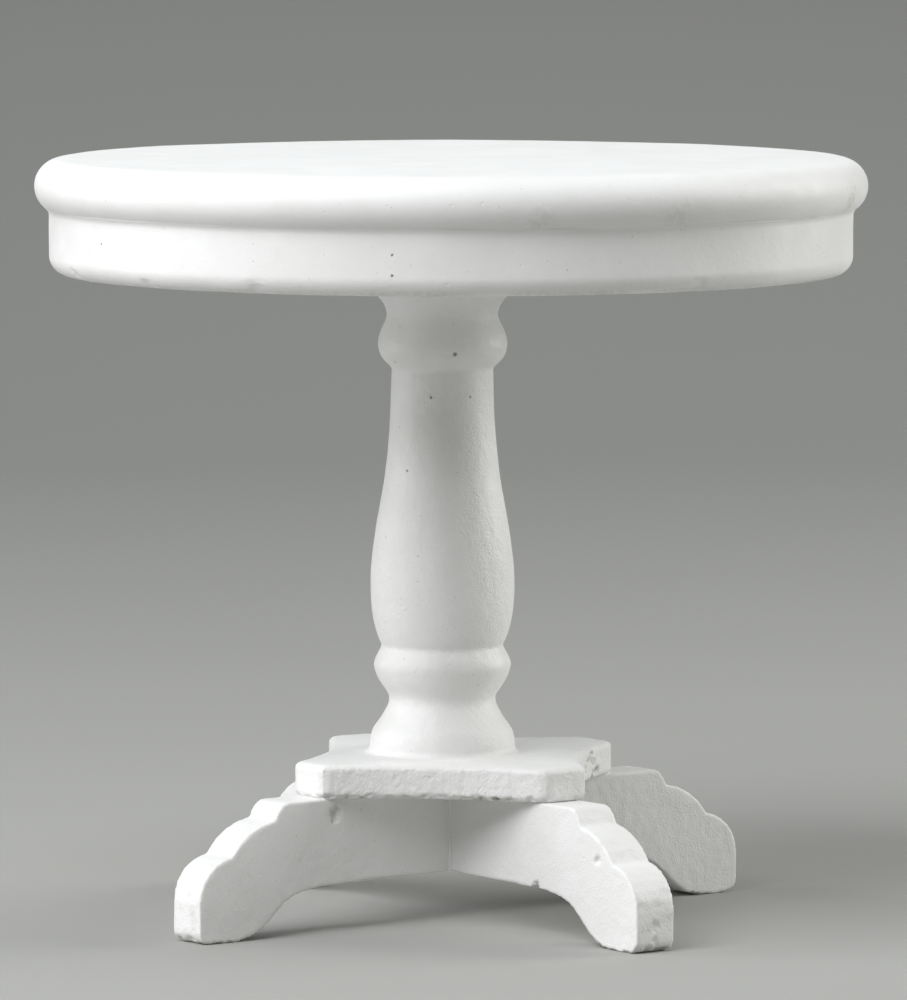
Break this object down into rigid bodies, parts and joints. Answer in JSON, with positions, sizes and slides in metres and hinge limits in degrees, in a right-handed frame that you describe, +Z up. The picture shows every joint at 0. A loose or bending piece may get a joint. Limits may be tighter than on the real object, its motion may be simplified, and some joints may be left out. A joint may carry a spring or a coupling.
{
  "type": "miniature dining table",
  "caption": "Round dolls-house dining table with a bullnose top and shallow apron on a turned pedestal with scalloped splayed legs.",
  "frame": {"origin": "on the floor under the centre of the round top", "axes": "+Z up through the table's top face; -Y is the front, where two legs show on either side; +X is to the right of the front"},
  "size_m": [0.0692, 0.0692, 0.0635],
  "materials": {
    "top_paint": "smooth white satin paint over sanded wood",
    "column_paint": "white satin paint over turned wood, with a fine orange-peel texture",
    "plate_paint": "white satin paint over thin board, with rough end grain showing on the edges",
    "leg_paint": "white satin paint over flat-cut wood, with small chips at the edges and feet",
    "bare_wood": "plain unpainted hardwood dowel"
  },
  "bodies": {
    "root": {"table_top": "top_paint", "apron": "top_paint", "column": "column_paint", "base_plate": "plate_paint", "leg_front_left": "leg_paint", "leg_front_right": "leg_paint", "leg_rear_right": "leg_paint", "leg_rear_left": "leg_paint", "center_block": "leg_paint", "head_dowel": "bare_wood", "foot_dowel": "bare_wood"}
  },
  "joints": []
}
